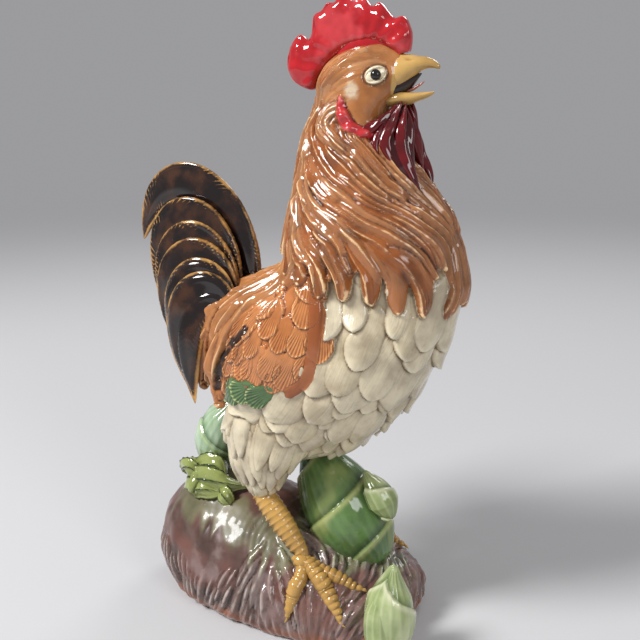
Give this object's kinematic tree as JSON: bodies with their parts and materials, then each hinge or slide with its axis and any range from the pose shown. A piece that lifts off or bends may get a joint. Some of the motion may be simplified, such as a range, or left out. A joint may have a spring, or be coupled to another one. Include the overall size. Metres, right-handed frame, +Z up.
{
  "type": "ceramic rooster statue",
  "caption": "Glazed ceramic rooster with a crimson comb, caramel hackles, cream breast and dark sickle tail, standing on a hollow rock among bamboo shoots.",
  "frame": {"origin": "middle of the footprint's bounding box, on the plane that the rock stands on", "axes": "+Z up, +X towards the beak, +Y towards the left side of the bird, -Y side shown in the picture"},
  "size_m": [0.2532, 0.1348, 0.444],
  "materials": {
    "rock_glaze": "gloss",
    "cream_glaze": "gloss",
    "caramel_glaze": "gloss",
    "comb_glaze": "gloss",
    "amber_glaze": "gloss",
    "tongue_glaze": "gloss",
    "eye_glaze": "gloss",
    "tail_glaze": "gloss",
    "shoot_glaze": "gloss",
    "pale_shoot_glaze": "gloss",
    "vine_glaze": "gloss"
  },
  "bodies": {
    "root": {"rock_base": "rock_glaze", "torso_shell": "cream_glaze", "thigh_right": "cream_glaze", "thigh_left": "cream_glaze", "neck": "caramel_glaze", "head": "caramel_glaze", "wing_right": "caramel_glaze", "wing_left": "caramel_glaze", "saddle_right_1": "caramel_glaze", "saddle_right_2": "caramel_glaze", "saddle_left_1": "caramel_glaze", "saddle_left_2": "caramel_glaze", "comb": "comb_glaze", "wattle_right": "comb_glaze", "wattle_left": "comb_glaze", "beak_upper": "amber_glaze", "beak_lower": "amber_glaze", "shank_right": "amber_glaze", "shank_left": "amber_glaze", "toe_inner_right": "amber_glaze", "toe_middle_right": "amber_glaze", "toe_outer_right": "amber_glaze", "toe_hind_right": "amber_glaze", "toe_inner_left": "amber_glaze", "toe_middle_left": "amber_glaze", "toe_outer_left": "amber_glaze", "toe_hind_left": "amber_glaze", "tongue": "tongue_glaze", "eye_right": "eye_glaze", "eye_left": "eye_glaze", "tail_sickle_main": "tail_glaze", "tail_sickle_right_1": "tail_glaze", "tail_sickle_right_2": "tail_glaze", "tail_sickle_right_3": "tail_glaze", "tail_sickle_left_1": "tail_glaze", "tail_sickle_left_2": "tail_glaze", "tail_sickle_left_3": "tail_glaze", "shoot_large": "shoot_glaze", "shoot_rear": "shoot_glaze", "shoot_bud": "pale_shoot_glaze", "shoot_front": "pale_shoot_glaze", "vine": "vine_glaze"}
  },
  "joints": []
}
